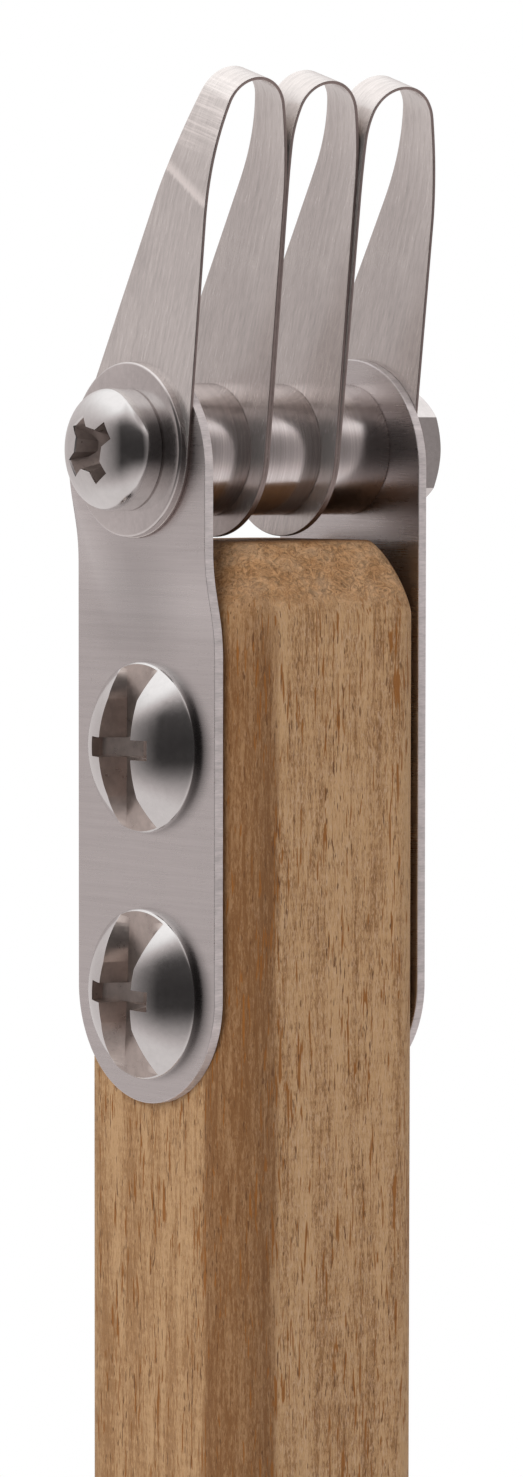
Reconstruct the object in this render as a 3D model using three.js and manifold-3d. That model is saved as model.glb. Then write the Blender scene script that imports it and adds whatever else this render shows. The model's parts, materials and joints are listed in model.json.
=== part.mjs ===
// Clay carving tool: three U-shaped steel cutting loops, clamped by one cross screw between two side plates
// on a square wooden handle. Loosening the screw lets each loop swing to its own angle.
// Millimetres, +Z up along the handle. The origin is the centre of the handle's butt end.
// +X runs along the clamp screw from its head to its nut, and -Y is the side that the loops lean towards.

import * as THREE from 'three';
import { mergeVertices } from 'three/addons/utils/BufferGeometryUtils.js';
import Module from 'manifold-3d';

const wasm = await Module();
wasm.setup();

// Handle: square hardwood stock with rounded long edges and a rounded working end
const HANDLE_WIDTH = 19.05;
const HANDLE_LENGTH = 150;
const HANDLE_EDGE_RADIUS = 3.05;
const HANDLE_TOP_ROUNDING = 4.4;
const HANDLE_BUTT_ROUNDING = 1.5;

// Side plates: round-ended strips, the left one sprung outwards by the stack that it clamps
const PLATE_THICKNESS = 0.8;
const PLATE_HALF_WIDTH = 8.45;
const PLATE_TOP_ABOVE_AXIS = 7;
const PLATE_END_BELOW_SCREW = 8.3;
const LEFT_PLATE_BOW = 0.95;

// Cutting loops: flat spring strip bent to a U, with round holed ends
const STRIP_THICKNESS = 0.26;
const LEG_END_RADIUS = 6.65;
const LEG_TAPER = 0.1986;
const TAPERED_HEIGHT = 20.5;
const CROWN_STRIP_WIDTH = 2.95;
const FLANK_ANGLE = 16.5;
const LOOP_SWING_GAP = 0.25;
const LOOP_HEIGHT = 29.05;

// Each loop's own set: its lean in degrees, how far its crown draws in from the legs, and its crown's sideways shift
const LEFT_LEAN = 17.7;
const LEFT_CROWN_INSET = 1.04;
const LEFT_CROWN_SHIFT = 0.14;
const MIDDLE_LEAN = 17.6;
const MIDDLE_CROWN_INSET = 0.5;
const MIDDLE_CROWN_SHIFT = -0.18;
const RIGHT_LEAN = 18.4;
const RIGHT_CROWN_INSET = 0.6;
const RIGHT_CROWN_SHIFT = -0.44;

// Spacers: turned tubes between the loops' legs
const SPACER_RADIUS = 5.05;
const SPACER_BORE_CLEARANCE = 0.3;

// Clamp screw, its washer and its nut
const CLAMP_SHANK_RADIUS = 2.4;
const CLAMP_HEAD_RADIUS = 4.62;
const CLAMP_HEAD_HEIGHT = 3.7;
const CLAMP_HEAD_SIDE = 1.2;
const CLAMP_HEAD_FULLNESS = 2.5;
const CLAMP_POINT_PROUD = 0.8;
const CLAMP_POINT_CHAMFER = 0.5;
const CROSS_ARM_REACH = 2.6;
const CROSS_ARM_WIDTH = 1.15;
const CROSS_DEPTH = 2.2;
const CROSS_TURN = 58;
const WASHER_RADIUS = 6.58;
const WASHER_THICKNESS = 0.65;
const WASHER_BEVEL = 0.2;
const NUT_ACROSS_FLATS = 9.5;
const NUT_THICKNESS = 4.4;
const NUT_CHAMFER = 0.55;
const NUT_TURN = 2.9;
const RUNNING_CLEARANCE = 0.1;

// Handle screws on the left and the barrel nuts that they thread into on the right
const UPPER_SCREW_BELOW_AXIS = 22.45;
const SCREW_PITCH = 18.7;
const TRUSS_RADIUS = 6.5;
const TRUSS_SKIRT = 0.75;
const TRUSS_BEVEL = 0.12;
const TRUSS_HEIGHT = 3.4;
const SLOT_WIDTH = 3.4;
const SLOT_DEPTH = 2.3;
const TRUSS_CROSS_REACH = 3.4;
const TRUSS_CROSS_WIDTH = 1.5;
const TRUSS_CROSS_DEPTH = 2.8;
const HANDLE_SCREW_RADIUS = 2.4;
const HANDLE_SCREW_LENGTH = 12;
const BARREL_RADIUS = 3.2;
const BARREL_END_WALL = 1.6;
const BARREL_SHORT_OF_PLATE = 1;
const FASTENER_CLEARANCE = 0.3;

// Smoothness of the round shapes
const ROUND_SEGMENTS = 32;
const CORNER_SEGMENTS = 5;
const FLANK_SEGMENTS = 5;
const CROWN_SEGMENTS = 14;
const BOW_STEPS = 8;
const CUT_MARGIN = 1;

// Places along the clamp screw, which follow from the handle, the plates and the strips
const halfHandle = HANDLE_WIDTH / 2;
const leftPlateFace = -halfHandle - LEFT_PLATE_BOW;
const stackLength = HANDLE_WIDTH + LEFT_PLATE_BOW;
const doubledLegs = 2 * STRIP_THICKNESS;
const spacerLength = (stackLength - 2 * doubledLegs) / 3;
const spacerPitch = spacerLength + doubledLegs;
const leftLegFace = leftPlateFace - PLATE_THICKNESS;
const rightLegFace = halfHandle + PLATE_THICKNESS;
const washerSeat = leftLegFace - STRIP_THICKNESS;
const headSeat = washerSeat - WASHER_THICKNESS;
const nutSeat = rightLegFace + STRIP_THICKNESS;
const nutEnd = nutSeat + NUT_THICKNESS;

// Places along the handle
const axisAboveWood = LEG_END_RADIUS + LOOP_SWING_GAP;
const axisHeight = HANDLE_LENGTH + axisAboveWood;
const screwHeights = {
  upper: -UPPER_SCREW_BELOW_AXIS,
  lower: -UPPER_SCREW_BELOW_AXIS - SCREW_PITCH,
};
const plateBottom = screwHeights.lower - PLATE_END_BELOW_SCREW;
const bowBottom = screwHeights.upper + TRUSS_RADIUS;
const bowTop = -axisAboveWood;

// The three loops in order along the screw
const loops = [
  { side: 'left', lean: LEFT_LEAN, crownInset: LEFT_CROWN_INSET, crownShift: LEFT_CROWN_SHIFT },
  { side: 'middle', lean: MIDDLE_LEAN, crownInset: MIDDLE_CROWN_INSET, crownShift: MIDDLE_CROWN_SHIFT },
  { side: 'right', lean: RIGHT_LEAN, crownInset: RIGHT_CROWN_INSET, crownShift: RIGHT_CROWN_SHIFT },
];

// Hole sizes, from what passes through them
const legHoleRadius = CLAMP_SHANK_RADIUS + RUNNING_CLEARANCE;
const clampHoleRadius = CLAMP_SHANK_RADIUS + FASTENER_CLEARANCE;
const screwHoleRadius = HANDLE_SCREW_RADIUS + FASTENER_CLEARANCE;
const barrelHoleRadius = BARREL_RADIUS + FASTENER_CLEARANCE;
const barrelBoreRadius = HANDLE_SCREW_RADIUS + FASTENER_CLEARANCE;

const steel = new THREE.MeshStandardMaterial({ color: 0xa59d9a, roughness: 0.35, metalness: 1 });
const polishedSteel = new THREE.MeshStandardMaterial({ color: 0xb8b0ac, roughness: 0.18, metalness: 1 });
const wood = new THREE.MeshStandardMaterial({ color: 0xa9804f, roughness: 0.7, metalness: 0 });

// Solid modelling: closed meshes become solids that can be joined and cut

function solid(geometry) {
  const bare = geometry.clone();
  bare.deleteAttribute('normal');
  bare.deleteAttribute('uv');
  const merged = mergeVertices(bare, 1e-5);
  const index = merged.index.array;
  const corners = [];
  for (let i = 0; i < index.length; i += 3) {
    const [a, b, c] = [index[i], index[i + 1], index[i + 2]];
    if (a !== b && b !== c && c !== a) corners.push(a, b, c);
  }
  const vertProperties = new Float32Array(merged.attributes.position.array);
  return new wasm.Manifold(new wasm.Mesh({ numProp: 3, vertProperties, triVerts: new Uint32Array(corners) }));
}

function geometryOf(shape) {
  const { vertProperties, triVerts } = shape.getMesh();
  const geometry = new THREE.BufferGeometry();
  geometry.setAttribute('position', new THREE.BufferAttribute(vertProperties, 3));
  geometry.setIndex(new THREE.BufferAttribute(triVerts, 1));
  const faceted = geometry.toNonIndexed();
  faceted.computeVertexNormals();
  return faceted;
}

const xAxis = new THREE.Vector3(1, 0, 0);
const yAxis = new THREE.Vector3(0, 1, 0);
const zAxis = new THREE.Vector3(0, 0, 1);
const extrusionAlongX = new THREE.Matrix4().makeBasis(yAxis, zAxis, xAxis);
const extrusionAlongY = new THREE.Matrix4().makeBasis(xAxis, zAxis, yAxis.clone().negate());

function extrude(outline, depth, holes = []) {
  const shape = new THREE.Shape(outline);
  shape.holes = holes.map((hole) => new THREE.Path(hole));
  return new THREE.ExtrudeGeometry(shape, { depth, bevelEnabled: false });
}

// An outline in the Y-Z plane, extruded from one X to another
function extrudeX(outline, from, to, holes) {
  return solid(extrude(outline, to - from, holes).applyMatrix4(extrusionAlongX).translate(from, 0, 0));
}

// An outline in the X-Z plane, extruded over a width centred on Y = 0
function extrudeY(outline, width) {
  return solid(extrude(outline, width).applyMatrix4(extrusionAlongY).translate(0, width / 2, 0));
}

// A body of revolution about X, from pairs of radius and X in anticlockwise order
function turned(profile) {
  const points = profile.map(([radius, x]) => new THREE.Vector2(radius, x));
  return solid(new THREE.LatheGeometry(points, ROUND_SEGMENTS).rotateZ(-Math.PI / 2));
}

function arc(centreX, centreY, radius, from, to, segments) {
  const points = [];
  for (let i = 0; i <= segments; i += 1) {
    const angle = from + ((to - from) * i) / segments;
    points.push(new THREE.Vector2(centreX + radius * Math.cos(angle), centreY + radius * Math.sin(angle)));
  }
  return points;
}

function circle(centreX, centreY, radius) {
  return arc(centreX, centreY, radius, 0, 2 * Math.PI, ROUND_SEGMENTS).slice(0, -1);
}

// A rectangle with its own rounding at its lower and upper corners
function roundedRectangle(x0, x1, y0, y1, lowerRadius, upperRadius) {
  const quarter = Math.PI / 2;
  return [
    ...arc(x1 - lowerRadius, y0 + lowerRadius, lowerRadius, -quarter, 0, CORNER_SEGMENTS),
    ...arc(x1 - upperRadius, y1 - upperRadius, upperRadius, 0, quarter, CORNER_SEGMENTS),
    ...arc(x0 + upperRadius, y1 - upperRadius, upperRadius, quarter, 2 * quarter, CORNER_SEGMENTS),
    ...arc(x0 + lowerRadius, y0 + lowerRadius, lowerRadius, 2 * quarter, 3 * quarter, CORNER_SEGMENTS),
  ];
}

// A round bar along X, for cutting holes
function bar(radius, from, to, height = 0) {
  return extrudeX(circle(0, height, radius), from, to);
}

// Handle

function handleSolid() {
  const edges = roundedRectangle(
    -halfHandle, halfHandle, -halfHandle, halfHandle, HANDLE_EDGE_RADIUS, HANDLE_EDGE_RADIUS,
  );
  const side = roundedRectangle(
    -halfHandle, halfHandle, 0, HANDLE_LENGTH, HANDLE_BUTT_ROUNDING, HANDLE_TOP_ROUNDING,
  );
  let stock = solid(extrude(edges, HANDLE_LENGTH))
    .intersect(extrudeY(side, HANDLE_WIDTH))
    .intersect(extrudeX(side, -halfHandle, halfHandle));
  for (const height of Object.values(screwHeights)) {
    const bore = bar(barrelHoleRadius, -halfHandle - CUT_MARGIN, halfHandle + CUT_MARGIN, axisHeight + height);
    stock = stock.subtract(bore);
  }
  return stock;
}

// Side plates, drawn about the clamp axis

function plateOutline() {
  const topArc = PLATE_TOP_ABOVE_AXIS - PLATE_HALF_WIDTH;
  const half = ROUND_SEGMENTS / 2;
  return [
    ...arc(0, topArc, PLATE_HALF_WIDTH, 0, Math.PI, half),
    ...arc(0, plateBottom + PLATE_HALF_WIDTH, PLATE_HALF_WIDTH, Math.PI, 2 * Math.PI, half),
  ];
}

function plateHoles(fastenerHoleRadius) {
  const fastenerHoles = Object.values(screwHeights).map((height) => circle(0, height, fastenerHoleRadius));
  return [circle(0, 0, clampHoleRadius), ...fastenerHoles];
}

function rightPlateSolid() {
  return extrudeX(plateOutline(), halfHandle, rightLegFace, plateHoles(barrelHoleRadius));
}

// How far the left plate stands off the wood at a height: it bends between the upper screw and the swinging legs
function bowAt(height) {
  return LEFT_PLATE_BOW * THREE.MathUtils.smoothstep(height, bowBottom, bowTop);
}

function leftPlateSolid() {
  const heights = [plateBottom - CUT_MARGIN];
  for (let i = 0; i <= BOW_STEPS; i += 1) {
    heights.push(THREE.MathUtils.lerp(bowBottom, bowTop, i / BOW_STEPS));
  }
  heights.push(PLATE_TOP_ABOVE_AXIS + CUT_MARGIN);
  const inner = heights.map((height) => new THREE.Vector2(-halfHandle - bowAt(height), height));
  const outer = inner.map((point) => new THREE.Vector2(point.x - PLATE_THICKNESS, point.y));
  const bentSheet = extrudeY([...inner, ...outer.reverse()], 2 * PLATE_HALF_WIDTH + 2 * CUT_MARGIN);
  const blankFrom = leftLegFace - CUT_MARGIN;
  const blank = extrudeX(plateOutline(), blankFrom, -halfHandle + CUT_MARGIN, plateHoles(screwHoleRadius));
  return bentSheet.intersect(blank);
}

// Cutting loops, drawn upright about the clamp axis with X = 0 midway between the legs

// One flank of the U: the arc that leads from a straight leg into the crown
function flank(legReach, crownRadius) {
  const angle = THREE.MathUtils.degToRad(FLANK_ANGLE);
  const radius = (legReach - crownRadius * Math.cos(angle)) / (1 - Math.cos(angle));
  const start = LOOP_HEIGHT - crownRadius - (radius - crownRadius) * Math.sin(angle);
  return { angle, radius, start };
}

// One face of the strip, offset from its middle surface, from the right leg over the crown to the left leg
function stripFace(legHalfGap, loop, offset) {
  const crownRadius = legHalfGap - loop.crownInset;
  const right = flank(legHalfGap - loop.crownShift, crownRadius);
  const left = flank(legHalfGap + loop.crownShift, crownRadius);
  const bottom = -LEG_END_RADIUS - CUT_MARGIN;
  return [
    new THREE.Vector2(legHalfGap + offset, bottom),
    ...arc(legHalfGap - right.radius, right.start, right.radius + offset, 0, right.angle, FLANK_SEGMENTS),
    ...arc(
      loop.crownShift, LOOP_HEIGHT - crownRadius, crownRadius + offset,
      right.angle, Math.PI - left.angle, CROWN_SEGMENTS,
    ).slice(1, -1),
    ...arc(
      left.radius - legHalfGap, left.start, left.radius + offset,
      Math.PI - left.angle, Math.PI, FLANK_SEGMENTS,
    ),
    new THREE.Vector2(-legHalfGap - offset, bottom),
  ];
}

// The strip seen along X: round end, straight taper, then a curve into the narrow crown
function legOutline() {
  const tangent = Math.atan(LEG_TAPER);
  const taperHalfWidth = LEG_END_RADIUS * Math.hypot(1, LEG_TAPER) - LEG_TAPER * TAPERED_HEIGHT;
  const crownHalfWidth = CROWN_STRIP_WIDTH / 2;
  const top = LOOP_HEIGHT + CUT_MARGIN;
  const control = TAPERED_HEIGHT + (taperHalfWidth - crownHalfWidth) / LEG_TAPER;
  const edge = new THREE.QuadraticBezierCurve(
    new THREE.Vector2(taperHalfWidth, TAPERED_HEIGHT),
    new THREE.Vector2(crownHalfWidth, control),
    new THREE.Vector2(crownHalfWidth, top),
  ).getPoints(FLANK_SEGMENTS);
  const mirrored = edge.map((point) => new THREE.Vector2(-point.x, point.y)).reverse();
  return [
    ...arc(0, 0, LEG_END_RADIUS, Math.PI - tangent, 2 * Math.PI + tangent, ROUND_SEGMENTS / 2),
    ...edge,
    ...mirrored,
  ];
}

function loopSolid(legHalfGap, loop) {
  const outerFace = stripFace(legHalfGap, loop, STRIP_THICKNESS / 2);
  const innerFace = stripFace(legHalfGap, loop, -STRIP_THICKNESS / 2);
  const band = extrudeY([...outerFace, ...innerFace.reverse()], 2 * LEG_END_RADIUS + 2 * CUT_MARGIN);
  const reach = legHalfGap + CUT_MARGIN;
  const silhouette = extrudeX(legOutline(), -reach, reach);
  return band.intersect(silhouette).subtract(bar(legHoleRadius, -reach, reach));
}

// Where each loop's two legs lie along the screw
function legPlaces(position) {
  const innerGap = leftPlateFace + spacerLength + position * spacerPitch;
  const left = position === 0 ? washerSeat : innerGap - spacerPitch + STRIP_THICKNESS;
  const right = position === 2 ? nutSeat : innerGap + STRIP_THICKNESS;
  return { left, right };
}

// Round pieces of the clamp

function tubeSolid(outerRadius, boreRadius, from, to) {
  return turned([[boreRadius, from], [outerRadius, from], [outerRadius, to], [boreRadius, to], [boreRadius, from]]);
}

function washerSolid() {
  const rim = headSeat + WASHER_BEVEL;
  return turned([
    [clampHoleRadius, headSeat],
    [WASHER_RADIUS - WASHER_BEVEL, headSeat],
    [WASHER_RADIUS, rim],
    [WASHER_RADIUS, washerSeat],
    [clampHoleRadius, washerSeat],
    [clampHoleRadius, headSeat],
  ]);
}

// The points of a head's dome, from its apex on the axis out to its edge, the head facing -X
function dome(apex, edge, edgeRadius) {
  const height = edge - apex;
  const sphere = (edgeRadius * edgeRadius + height * height) / (2 * height);
  const spread = Math.asin(edgeRadius / sphere);
  return arc(apex + sphere, 0, sphere, Math.PI, Math.PI - spread, CORNER_SEGMENTS)
    .map((point) => [Math.max(point.y, 0), point.x]);
}

// A fuller dome, flat in the middle and steep at its edge. A fullness of 2 makes it an ellipse
function fullDome(apex, edge, edgeRadius, fullness) {
  const height = edge - apex;
  return arc(0, 0, 1, Math.PI / 2, 0, 2 * CORNER_SEGMENTS)
    .map((point) => [edgeRadius * Math.max(point.x, 0) ** (2 / fullness), edge - height * point.y]);
}

// A slot across a head: a box along Y, turned about X by an angle
function slot(reach, width, from, to, degrees) {
  const box = new THREE.BoxGeometry(to - from, 2 * reach, width).translate((from + to) / 2, 0, 0);
  return solid(box.rotateX(THREE.MathUtils.degToRad(degrees)));
}

function clampScrewSolid() {
  const apex = headSeat - CLAMP_HEAD_HEIGHT;
  const point = nutEnd + CLAMP_POINT_PROUD;
  const crossFloor = apex + CROSS_DEPTH;
  const screw = turned([
    ...fullDome(apex, headSeat - CLAMP_HEAD_SIDE, CLAMP_HEAD_RADIUS, CLAMP_HEAD_FULLNESS),
    [CLAMP_HEAD_RADIUS, headSeat],
    [CLAMP_SHANK_RADIUS, headSeat],
    [CLAMP_SHANK_RADIUS, point - CLAMP_POINT_CHAMFER],
    [CLAMP_SHANK_RADIUS - CLAMP_POINT_CHAMFER, point],
    [0, point],
  ]);
  const cross = [0, 90].map((turn) => (
    slot(CROSS_ARM_REACH, CROSS_ARM_WIDTH, apex - CUT_MARGIN, crossFloor, CROSS_TURN + turn)
  ));
  return cross.reduce((head, cut) => head.subtract(cut), screw);
}

function nutSolid() {
  const corner = NUT_ACROSS_FLATS / Math.sqrt(3);
  const flatTurn = THREE.MathUtils.degToRad(NUT_TURN) + Math.PI / 6;
  const hexagon = arc(0, 0, corner, flatTurn, flatTurn + 2 * Math.PI, 6).slice(0, -1);
  const prism = extrudeX(hexagon, nutSeat, nutEnd, [circle(0, 0, clampHoleRadius)]);
  const chamferedBar = turned([
    [0, nutSeat - CUT_MARGIN],
    [corner, nutSeat - CUT_MARGIN],
    [corner, nutEnd - NUT_CHAMFER],
    [NUT_ACROSS_FLATS / 2, nutEnd],
    [0, nutEnd],
  ]);
  return prism.intersect(chamferedBar);
}

// Handle fasteners, drawn with the head facing -X and its seat at a given X

function trussHeadProfile(seat) {
  const apex = seat - TRUSS_HEIGHT;
  const skirt = seat - TRUSS_SKIRT;
  return [
    ...dome(apex, skirt, TRUSS_RADIUS - TRUSS_BEVEL),
    [TRUSS_RADIUS, skirt + TRUSS_BEVEL],
    [TRUSS_RADIUS, seat],
  ];
}

function withTrussDrive(fastener, seat) {
  const apex = seat - TRUSS_HEIGHT;
  const above = apex - CUT_MARGIN;
  const longSlot = slot(TRUSS_RADIUS + CUT_MARGIN, SLOT_WIDTH, above, apex + SLOT_DEPTH, 90);
  const cross = slot(TRUSS_CROSS_REACH, TRUSS_CROSS_WIDTH, above, apex + TRUSS_CROSS_DEPTH, 0);
  return fastener.subtract(longSlot).subtract(cross);
}

function handleScrewSolid() {
  const seat = -halfHandle - PLATE_THICKNESS;
  const tip = seat + HANDLE_SCREW_LENGTH;
  return withTrussDrive(turned([
    ...trussHeadProfile(seat),
    [HANDLE_SCREW_RADIUS, seat],
    [HANDLE_SCREW_RADIUS, tip],
    [0, tip],
  ]), seat);
}

function barrelNutSolid() {
  const seat = -rightLegFace;
  const mouth = halfHandle - BARREL_SHORT_OF_PLATE;
  const boreFloor = seat + BARREL_END_WALL;
  return withTrussDrive(turned([
    ...trussHeadProfile(seat),
    [BARREL_RADIUS, seat],
    [BARREL_RADIUS, mouth],
    [barrelBoreRadius, mouth],
    [barrelBoreRadius, boreFloor],
    [0, boreFloor],
  ]), seat);
}

// Assembly

function part(name, shape, material) {
  const mesh = new THREE.Mesh(geometryOf(shape), material);
  mesh.name = name;
  return mesh;
}

const tool = new THREE.Group();
tool.add(part('handle', handleSolid(), wood));

const head = new THREE.Group();
head.position.z = axisHeight;
tool.add(head);

head.add(part('left_side_plate', leftPlateSolid(), steel));
head.add(part('right_side_plate', rightPlateSolid(), steel));

loops.forEach((loop, position) => {
  const { left, right } = legPlaces(position);
  const legHalfGap = (right - left - STRIP_THICKNESS) / 2;
  const pivot = new THREE.Group();
  pivot.position.x = (left + right) / 2;
  pivot.rotation.x = THREE.MathUtils.degToRad(loop.lean);
  pivot.add(part(`${loop.side}_cutting_loop`, loopSolid(legHalfGap, loop), steel));
  head.add(pivot);

  const from = leftPlateFace + position * spacerPitch;
  const spacer = tubeSolid(SPACER_RADIUS, CLAMP_SHANK_RADIUS + SPACER_BORE_CLEARANCE, from, from + spacerLength);
  head.add(part(`${loop.side}_spacer`, spacer, steel));
});

head.add(part('clamp_screw', clampScrewSolid(), polishedSteel));
head.add(part('clamp_washer', washerSolid(), polishedSteel));
head.add(part('clamp_nut', nutSolid(), polishedSteel));

for (const [level, height] of Object.entries(screwHeights)) {
  const screw = part(`${level}_handle_screw`, handleScrewSolid(), polishedSteel);
  screw.position.z = height;
  const barrel = part(`${level}_barrel_nut`, barrelNutSolid(), polishedSteel);
  barrel.position.z = height;
  barrel.rotation.z = Math.PI;
  head.add(screw, barrel);
}

export default tool;
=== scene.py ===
"""Looks of a clay carving tool: three steel cutting loops clamped between two plates on a square wooden handle."""

import json
import math
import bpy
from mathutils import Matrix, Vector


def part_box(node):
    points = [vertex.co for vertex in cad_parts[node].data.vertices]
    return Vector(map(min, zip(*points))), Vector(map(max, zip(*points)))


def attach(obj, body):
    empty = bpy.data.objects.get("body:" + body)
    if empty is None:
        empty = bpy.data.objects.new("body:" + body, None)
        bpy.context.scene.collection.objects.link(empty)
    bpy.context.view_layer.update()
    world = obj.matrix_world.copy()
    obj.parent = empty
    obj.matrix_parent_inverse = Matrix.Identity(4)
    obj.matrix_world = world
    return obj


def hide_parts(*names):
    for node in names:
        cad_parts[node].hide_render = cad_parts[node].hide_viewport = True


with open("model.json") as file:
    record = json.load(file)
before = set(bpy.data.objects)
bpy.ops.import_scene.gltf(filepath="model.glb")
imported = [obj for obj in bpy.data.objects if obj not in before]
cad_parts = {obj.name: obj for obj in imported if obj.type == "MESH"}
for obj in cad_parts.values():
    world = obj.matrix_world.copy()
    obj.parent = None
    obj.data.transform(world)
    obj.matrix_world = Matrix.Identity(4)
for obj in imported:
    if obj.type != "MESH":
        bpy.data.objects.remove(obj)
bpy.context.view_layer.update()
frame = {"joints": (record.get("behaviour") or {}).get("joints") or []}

from types import SimpleNamespace

import bmesh
import bpy
from bpy.props import FloatProperty, FloatVectorProperty, PointerProperty
from mathutils import Euler, Matrix, Vector

bl_info = {
    "name": "Clay Carving Tool",
    "version": (1, 0, 0),
    "blender": (4, 5, 0),
    "location": "View3D > Sidebar > Carving Tool",
    "description": "Dresses the carving tool's frame with finished wood and steel pieces",
    "category": "Object",
}

MILLIMETRE = 0.001
CLAMP_AXIS_HEIGHT = frame["joints"][0]["pos_m"][2] / MILLIMETRE
ROUND_STEPS = 120
HOLE_STEPS = 64
SEAM_DISTANCE = 0.0005
SHARP_ANGLE = math.radians(60)
WHITE = (1, 1, 1, 1)
HOME_BODY = "handle_and_plates"


# Settings


def size(name, description, millimetres):
    """A length that the user may change, kept in metres."""
    return FloatProperty(
        name=name, description=description, default=millimetres * MILLIMETRE,
        min=0, precision=5, unit="LENGTH", subtype="DISTANCE",
    )


def turn(name, description, degrees):
    return FloatProperty(
        name=name, description=description, default=math.radians(degrees), unit="ROTATION", subtype="ANGLE"
    )


def tint(name, description, colour):
    return FloatVectorProperty(
        name=name, description=description, default=(*colour, 1), size=4, min=0, max=1, subtype="COLOR"
    )


def share(name, description, value):
    return FloatProperty(name=name, description=description, default=value, min=0, soft_max=1, subtype="FACTOR")


class HandleSettings(bpy.types.PropertyGroup):
    edge_rounding: size("Edge rounding", "Radius of the four long edges", 3.05)
    top_inset: size("Top inset", "How far the working end's rounding reaches in from each side", 2.62)
    top_drop: size("Top drop", "How far down the working end's rounding reaches", 5.6)
    top_fullness: FloatProperty(name="Top fullness", description="Curve of the working end: 1 is a straight bevel, "
                                "2 is round", default=1.37, min=1, max=4)
    butt_rounding: size("Butt rounding", "Radius round the butt end", 1.5)
    bore_radius: size("Bore radius", "Radius of the two cross bores for the barrel nuts", 3.5)
    light_wood: tint("Light wood", "Pale golden grain", (0.455, 0.277, 0.141))
    middle_wood: tint("Middle wood", "Main colour of the wood", (0.31, 0.165, 0.071))
    # Dark wood colours the dark grain, and is also painted as shade along two corners.
    dark_wood_and_shade: tint("Dark wood", "Dark grain, and painted shade along the corners", (0.175, 0.076, 0.026))
    fuzz_wood: tint("Raised fibres", "Pale raised fibres of the front and back", (0.49, 0.325, 0.205))
    end_wood: tint("End grain", "Colour of the rounded working end", (0.375, 0.213, 0.104))
    vessel_wood: tint("Vessels", "Long thin orange-brown lines", (0.245, 0.088, 0.016))
    # The pore colour is also painted as shade on the flat end under the clamped stack.
    pore_and_shade_wood: tint("Pores", "Short dark dashes", (0.135, 0.055, 0.020))


class PlateSettings(bpy.types.PropertyGroup):
    thickness: size("Thickness", "Thickness of the sheet", 0.8)
    half_width: size("Half width", "Radius of the round ends", 8.45)
    bow: size("Bow", "How far the clamped stack springs the left plate out", 0.95)
    bow_start: size("Bow start", "Where the bow starts, below the clamp screw", 15.95)
    bow_end: size("Bow end", "Where the bow is complete, below the clamp screw", 6.9)
    bow_twist: size("Bow twist", "How much higher the back edge bows than the middle", 7.0)
    edge_bevel: size("Edge bevel", "Rounding of the sheared edges", 0.1)
    clamp_hole: size("Clamp hole", "Radius of the hole for the clamp screw", 2.7)
    screw_hole: size("Screw hole", "Radius of the left plate's two screw holes", 2.7)
    barrel_hole: size("Barrel hole", "Radius of the right plate's two barrel holes", 3.5)
    upper_drop: size("Upper screw", "How far the upper handle screw is below the clamp screw", 22.45)
    lower_drop: size("Lower screw", "How far the lower handle screw is below the clamp screw", 41.15)
    sheet_tint: tint("Sheet", "Colour of the satin sheet", (0.62, 0.58, 0.575))
    edge_tint: tint("Edge", "Colour of the sheared edge", (0.60, 0.54, 0.535))


class LoopSettings(bpy.types.PropertyGroup):
    thickness: size("Thickness", "Thickness of the spring strip", 0.26)
    end_radius: size("End radius", "Radius of the round holed ends", 6.65)
    hole_radius: size("Hole radius", "Radius of the hole for the clamp screw", 2.5)
    taper: share("Taper", "Loss of half width per length along the legs", 0.1986)
    tapered_height: size("Tapered height", "Height up to which the legs taper straight", 20.5)
    crown_width: size("Crown width", "Width of the strip at the crown", 3.2)
    height: size("Height", "Height of the crown above the hole", 29.2)
    flank_angle: turn("Flank angle", "How far the legs bend in before the crown", 16.5)
    edge_bevel: size("Edge bevel", "Rounding of the strip's cut edges", 0.05)
    # A painted highlight line stands where the left leg is slightly kinked; fold and fold slant place it.
    fold: size("Fold", "Where the left loop's left leg shows a painted highlight line, above the hole", 20.6)
    fold_slant: share("Fold slant", "Slant of the painted highlight line across the strip", 0.28)
    strip_tint: tint("Strip", "Colour of the brushed strip", (0.645, 0.60, 0.58))
    edge_tint: tint("Cut edge", "Colour of the strip's dark cut edge", (0.36, 0.29, 0.275))


class SpacerSettings(bpy.types.PropertyGroup):
    bore_radius: size("Bore", "Radius of the bore", 2.7)
    edge_bevel: size("Edge bevel", "Chamfer of the ends", 0.12)
    turned_tint: tint("Turned steel", "Colour of the turned spacers", (0.665, 0.61, 0.60))


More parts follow.
